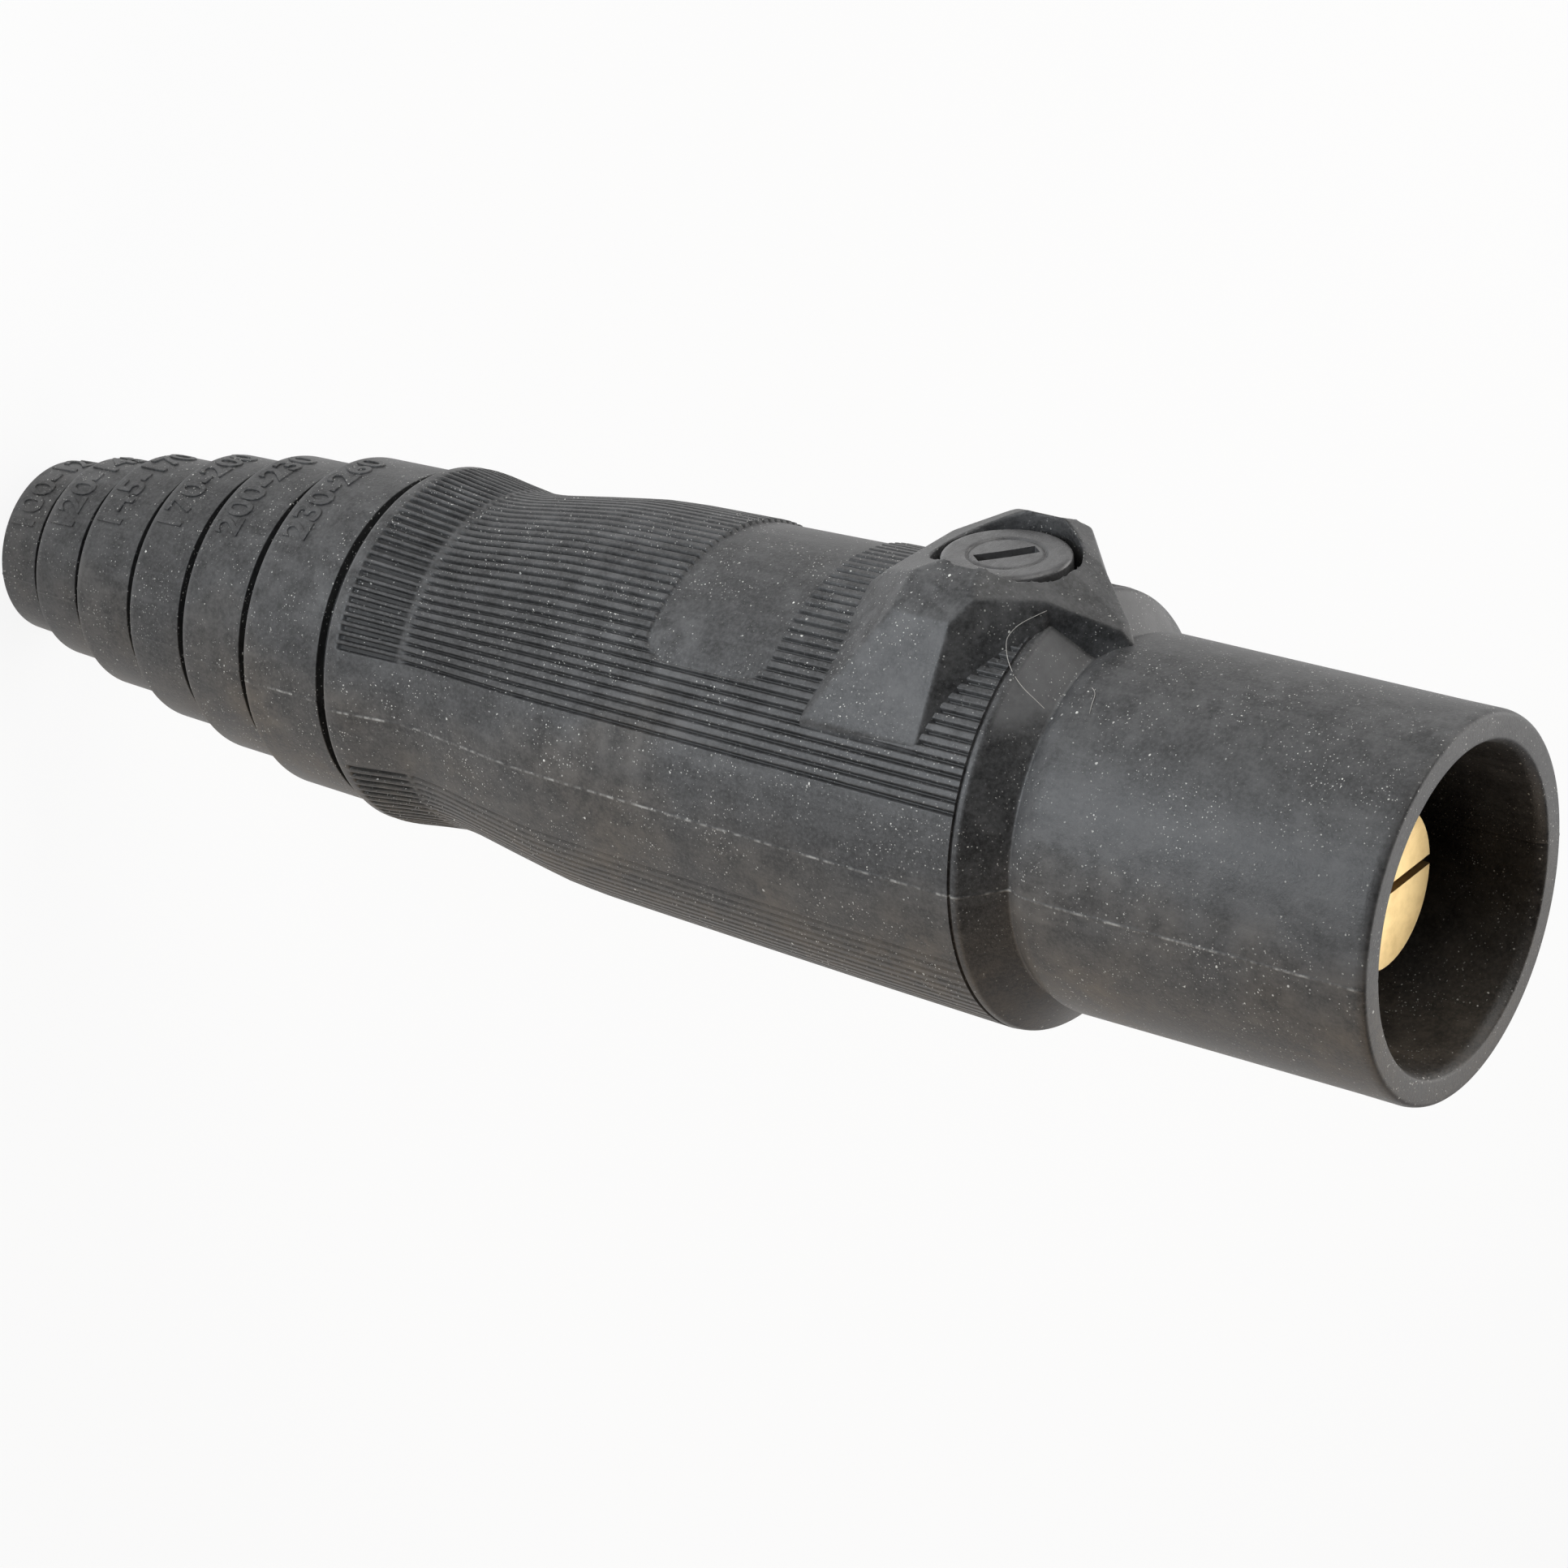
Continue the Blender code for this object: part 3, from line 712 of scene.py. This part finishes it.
def link(graph, shader, **values):
    for name, value in values.items():
        socket = shader.inputs[name.replace("_", " ")]
        if isinstance(value, bpy.types.NodeSocket):
            graph.tree.links.new(value, socket)
        else:
            socket.default_value = value


def dust_and_painted_light(graph, x, y, z, broad, cloudy):
    """How thickly the dust lies, a little everywhere, with painted highlights on rims and on two
    painted light patches.
    """
    wiped = graph.noise(graph.millimetres((0.9, 0.9, 0.12)), 0.6, 3.0, 0.7)
    film_and_light = graph.times(graph.stretch(cloudy, 0.38, 0.66), graph.stretch(broad, 0.3, 0.62))
    film_and_light = graph.math("MULTIPLY_ADD", graph.stretch(wiped, 0.52, 0.74), 0.45, film_and_light)
    # Painted highlights: pale rims behind the grooves and on the nose's shoulder, but not on the boss.
    painted_rim_highlights = 0.0
    bands = [(ring[0] + 0.22, 0.5) for ring in RINGS[1:]]
    for height, reach in bands + [(SWELL_START + 0.32, 0.5), (NOSE_START + 1.1, 1.4)]:
        painted_rim_highlights = graph.most(painted_rim_highlights, graph.stretch(graph.away(z, height), reach, 0.3 * reach))
    painted_rim_highlights = graph.times(painted_rim_highlights, graph.stretch(y, -NOSE_RADIUS - 0.8, -NOSE_RADIUS))
    film_and_light = graph.math("MULTIPLY_ADD", painted_rim_highlights, 0.5, film_and_light)
    # Painted highlight: a pale patch on the side of the nose.
    facing = graph.math("MULTIPLY_ADD", x, 0.86, graph.times(y, -0.3))
    painted_light_patch = graph.times(graph.stretch(facing, 9.0, 17.5), graph.stretch(z, 137.4, 141.0))
    painted_light_patch = graph.times(painted_light_patch, graph.stretch(cloudy, 0.2, 0.6))
    film_and_light = graph.math("MULTIPLY_ADD", painted_light_patch, 0.55, film_and_light)
    # Painted light: a pale patch on the collar, beside the boss's point.
    painted_light_patch = graph.stretch(graph.away(z, 135.6), 1.7, 1.4)
    painted_light_patch = graph.times(painted_light_patch, graph.stretch(y, -13.5, -15.5))
    beside = graph.math("MULTIPLY_ADD", z, 0.75, graph.math("ABSOLUTE", x))
    foot = BOSS_POINT_HALF_WIDTH + 0.75 * COLLAR_FRONT
    painted_light_patch = graph.times(painted_light_patch, graph.stretch(beside, foot + 0.1, foot + 0.5))
    return graph.math("MULTIPLY_ADD", painted_light_patch, 1.2, film_and_light)


def painted_groove_shade(graph, z):
    """How dark the rubber is painted, as shade: in the rings' grooves, and less so between the ribs.
    """
    deep = 0.0
    grooves = [(after[0], ring[3]) for ring, after in zip(RINGS, RINGS[1:])]
    for front, width in grooves + [(SWELL_START, RINGS[-1][3])]:
        away = graph.away(z, front - width / 2 - 0.02)
        deep = graph.most(deep, graph.stretch(away, width / 2 + 0.03, width / 2 - 0.03))
    ribs = graph.add("ShaderNodeAttribute", output="Fac", attribute_name="groove")
    return graph.most(graph.times(deep, 0.8), graph.times(ribs, 0.62))


def pale_specks(graph, place):
    """Crumbs: a few large, more small, a fine scatter where dust has settled; and scratches."""
    uneven = graph.bent(place, 5.0, 0.2)
    settled = graph.stretch(graph.noise(place, 0.16), 0.42, 0.62)
    large = graph.specks(uneven, 1.7, 0.36, 0.07, 0.16)
    small = graph.specks(uneven, 0.6, 0.62, 0.045, 0.1)
    small = graph.times(small, graph.math("MULTIPLY_ADD", settled, 0.5, 0.5))
    fine = graph.times(graph.specks(uneven, 0.34, 0.75, 0.035, 0.08), settled)
    bowed = graph.bent(graph.millimetres((0.25, 0.25, 1.0)), 0.8, 0.7)
    scratches = graph.times(graph.specks(bowed, 1.4, 0.2, 0.03, 0.055), 0.6)
    return graph.most(graph.most(large, small), graph.most(fine, scratches))


def scuffed_line(graph, place, x, z):
    """Pale scuffs on the crest of the parting line, outside only."""
    line = graph.math("ABSOLUTE", graph.parts(graph.bent(place, 1.5, 0.16))[1])
    line = graph.math("MULTIPLY_ADD", line, -7.0, 1.2, clamp=True)
    line = graph.times(line, graph.stretch(graph.math("ABSOLUTE", x), 16.4, 17.0))
    line = graph.times(line, graph.stretch(z, LENGTH - 0.5, LENGTH - 1.0))
    broken = graph.noise(graph.millimetres((0.2, 0.2, 1.0)), 0.5, 3.0, 0.75)
    return graph.times(graph.times(line, graph.stretch(broken, 0.46, 0.62)), 0.42)


def rubber():
    material, graph, shader = new_material("black_rubber")
    place = graph.millimetres()
    x, y, z = graph.parts(place)
    broad = graph.noise(place, 0.06)
    cloudy = graph.noise(place, 0.34, 4.0, 0.66)
    grain = graph.noise(place, 2.6, 4.0, 0.7)
    # The rubber and its dust are cool on the boss's side and brown underneath: painted warm bounce
    # light.
    painted_bounce = graph.math("MULTIPLY_ADD", graph.math("SUBTRACT", broad, 0.5), 40.0, y)
    painted_bounce = graph.stretch(painted_bounce, -5.0, 12.0)
    bare = graph.mix(painted_bounce, RUBBER, RUBBER_PAINTED_BOUNCE)
    dust = graph.mix(painted_bounce, DUST, DUST_PAINTED_BOUNCE)
    # Dust, with painted highlights on the rims and painted light patches.
    film_and_light = dust_and_painted_light(graph, x, y, z, broad, cloudy)
    colour = graph.mix(graph.math("MULTIPLY", film_and_light, 0.6, clamp=True), bare, dust)
    colour = graph.mix(graph.times(graph.stretch(grain, 0.42, 0.7), 0.42), colour, dust)
    # Painted shade in the grooves and between the ribs.
    colour = graph.mix(painted_groove_shade(graph, z), colour, GROOVE_PAINTED_SHADE)
    specks = graph.most(pale_specks(graph, place), scuffed_line(graph, place, x, z))
    colour = graph.mix(specks, colour, SPECK)
    roughness = graph.math("MULTIPLY_ADD", film_and_light, 0.08, 0.37)
    roughness = graph.math("MULTIPLY_ADD", grain, 0.14, roughness)
    bump = graph.bump(graph.math("MULTIPLY_ADD", specks, 0.5, grain), 0.6, 0.08)
    link(graph, shader, Base_Color=colour, Roughness=roughness, Normal=bump)
    link(graph, shader, Specular_IOR_Level=0.42)
    return material


def nylon():
    material, graph, shader = new_material("black_nylon")
    place = graph.millimetres()
    cloudy = graph.noise(place, 0.8, 5.0, 0.62)
    scuffs = graph.noise(graph.millimetres((0.6, 1.0, 2.2)), 1.4, 4.0, 0.7)
    colour = graph.mix(graph.times(graph.stretch(cloudy, 0.35, 0.7), 0.5), NYLON, DUST)
    specks = graph.specks(place, 1.6, 0.2, 0.05, 0.12)
    colour = graph.mix(graph.times(specks, 0.8), colour, SPECK)
    roughness = graph.math("MULTIPLY_ADD", graph.stretch(scuffs, 0.4, 0.7), 0.2, 0.26)
    bump = graph.bump(graph.math("MULTIPLY_ADD", scuffs, 0.6, graph.noise(place, 5.0)), 0.5, 0.06)
    link(graph, shader, Base_Color=colour, Roughness=roughness, Normal=bump)
    return material


def brass():
    material, graph, shader = new_material("contact_brass")
    place = graph.millimetres()
    cloudy = graph.noise(place, 0.45, 5.0, 0.6)
    turning = graph.add(
        "ShaderNodeTexWave",
        {"Vector": place, "Scale": 2.2, "Distortion": 1.5, "Detail": 3.0, "Detail Scale": 1.5},
        wave_type="RINGS",
        rings_direction="Z",
    )
    tarnish = graph.stretch(cloudy, 0.42, 0.72)
    colour = graph.mix(graph.times(tarnish, 0.45), BRASS, TARNISH)
    roughness = graph.math("MULTIPLY_ADD", tarnish, 0.12, 0.4)
    bump = graph.bump(turning, 0.3, 0.02)
    link(graph, shader, Base_Color=colour, Roughness=roughness, Normal=bump, Metallic=1.0)
    return material


def steel():
    material, graph, shader = new_material("set_screw_steel")
    place = graph.millimetres()
    marks = graph.noise(graph.millimetres((1.0, 1.0, 6.0)), 1.5, 4.0, 0.6)
    colour = graph.mix(graph.noise(place, 0.7, 4.0), STEEL_DARK, STEEL_PALE)
    roughness = graph.math("MULTIPLY_ADD", marks, 0.2, 0.28)
    link(graph, shader, Base_Color=colour, Roughness=roughness, Metallic=1.0)
    return material


def lint():
    material, graph, shader = new_material("lint")
    place = graph.millimetres()
    colour = graph.mix(graph.noise(place, 1.2, 2.0), LINT_DARK, LINT_PALE)
    link(graph, shader, Base_Color=colour, Roughness=0.8)
    return material


# Stage, light and camera.


def white_to_camera(graph, shaded, colour, share, output):
    """Shows a plain colour to the camera and to reflections, over the shaded surface."""
    path = graph.tree.nodes.new("ShaderNodeLightPath")
    seen = graph.most(path.outputs["Is Camera Ray"], path.outputs["Is Glossy Ray"])
    seen = graph.most(seen, path.outputs["Is Transmission Ray"])
    seen = graph.times(seen, share)
    plain = graph.add("ShaderNodeEmission", {"Color": colour, "Strength": 1.0})
    mixed = graph.add("ShaderNodeMixShader", {0: seen, 1: shaded, 2: plain})
    graph.tree.links.new(mixed, output.inputs["Surface"])


def make_floor():
    half = 3.0
    corners = [(-half, -half, 0), (half, -half, 0), (half, half, 0), (-half, half, 0)]
    material, graph, shader = new_material("pale_floor")
    tone = graph.mix(graph.noise(graph.millimetres(), 0.02), FLOOR_DARK, FLOOR_PALE)
    link(graph, shader, Base_Color=tone, Roughness=0.9)
    output = material.node_tree.nodes["Material Output"]
    white_to_camera(graph, shader.outputs[0], (1, 1, 1, 1), 0.88, output)
    floor = new_object("floor", corners, [(0, 1, 2, 3)], material, smooth=False)
    floor.location.z = -0.0002


def make_world():
    world = bpy.data.worlds.new("studio")
    bpy.context.scene.world = world
    world.use_nodes = True
    graph = Graph(world.node_tree)
    nodes = world.node_tree.nodes
    direction = graph.add("ShaderNodeTexCoord", output="Generated")
    # Dim on the photographer's side, pale everywhere else.
    toward = graph.add(
        "ShaderNodeVectorMath",
        {0: direction, 1: Vector(DIM_SIDE).normalized()},
        output="Value",
        operation="DOT_PRODUCT",
    )
    dim = graph.stretch(toward, -0.25, 0.5)
    tone = graph.mix(dim, WORLD_BRIGHT, WORLD_DIM)
    graph.tree.links.new(tone, nodes["Background"].inputs["Color"])
    path = nodes.new("ShaderNodeLightPath")
    white = graph.add("ShaderNodeBackground", {"Color": (1, 1, 1, 1), "Strength": 1.0})
    mixed = graph.add(
        "ShaderNodeMixShader",
        {0: path.outputs["Is Camera Ray"], 1: nodes["Background"].outputs[0], 2: white},
    )
    graph.tree.links.new(mixed, nodes["World Output"].inputs["Surface"])


def make_lamps():
    for name, place, target, size, power, colour in LAMPS:
        light = bpy.data.lights.new(name, "AREA")
        light.shape = "SQUARE"
        light.size = size
        light.energy = power
        light.color = colour
        lamp = add_object(name, light)
        lamp.location = place
        lamp.visible_camera = False
        aim = Vector(target) - Vector(place)
        lamp.rotation_euler = aim.to_track_quat("-Z", "Y").to_euler()


def make_camera():
    data = bpy.data.cameras.new("camera")
    data.sensor_width = 36.0
    data.lens = CAMERA_LENS
    data.clip_start = 0.01
    data.clip_end = 20.0
    camera = add_object("camera", data)
    camera.location = Vector(CAMERA_PLACE) * MM
    camera.rotation_euler = Euler([radians(a) for a in CAMERA_TURN])
    bpy.context.scene.camera = camera
    bpy.context.scene.view_settings.view_transform = "Standard"


def dress(nodes, name, material):
    mesh = nodes[name].data
    mesh.materials.clear()
    mesh.materials.append(material)


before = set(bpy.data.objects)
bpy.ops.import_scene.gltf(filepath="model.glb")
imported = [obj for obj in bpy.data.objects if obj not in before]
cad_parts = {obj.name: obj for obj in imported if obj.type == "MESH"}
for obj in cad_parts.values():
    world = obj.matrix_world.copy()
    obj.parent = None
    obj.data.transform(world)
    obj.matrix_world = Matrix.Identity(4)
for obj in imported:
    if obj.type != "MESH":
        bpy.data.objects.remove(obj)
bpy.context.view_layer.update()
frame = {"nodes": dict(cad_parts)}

make_camera()
make_world()
make_lamps()
make_floor()

black = rubber()
finish_piece(make_grip(black), "insulating_sleeve")
finish_piece(turned("sleeve_tail", tail_outline(), black))
finish_piece(turned("sleeve_nose", nose_outline(), black))
finish_piece(make_boss(black))
for i in range(len(RINGS)):
    finish_piece(ring_number(i, black))

screw_black = nylon()
finish_piece(make_screw(screw_black), "retaining_screw")

brass_finish = brass()
dress(frame["nodes"], "male_contact", brass_finish)
steel_finish = steel()
for name in ("set_screw_1", "set_screw_2"):
    dress(frame["nodes"], name, steel_finish)

# Lint on the boss and the nose, as (x, y, z).
fibre = (
    (5.1, -22.6, 133.7),
    (6.4, -22.3, 133.0),
    (7.4, -22.0, 132.4),
    (8.3, -21.5, 132.0),
    (8.9, -20.9, 131.7),
    (9.2, -20.1, 131.8),
    (10.2, -19.4, 132.6),
    (11.0, -18.7, 133.6),
    (11.3, -17.8, 134.6),
    (11.1, -16.9, 135.5),
    (10.9, -16.3, 136.2),
    (10.7, -15.6, 136.9),
)
hair = (
    (7.4, -17.1, 140.0),
    (7.7, -17.0, 140.6),
    (8.4, -16.7, 140.9),
    (9.1, -16.3, 141.0),
    (9.9, -15.8, 141.3),
)
pale = lint()
finish_piece(strand("fibre", fibre, 0.028, pale))
finish_piece(strand("hair", hair, 0.024, pale))
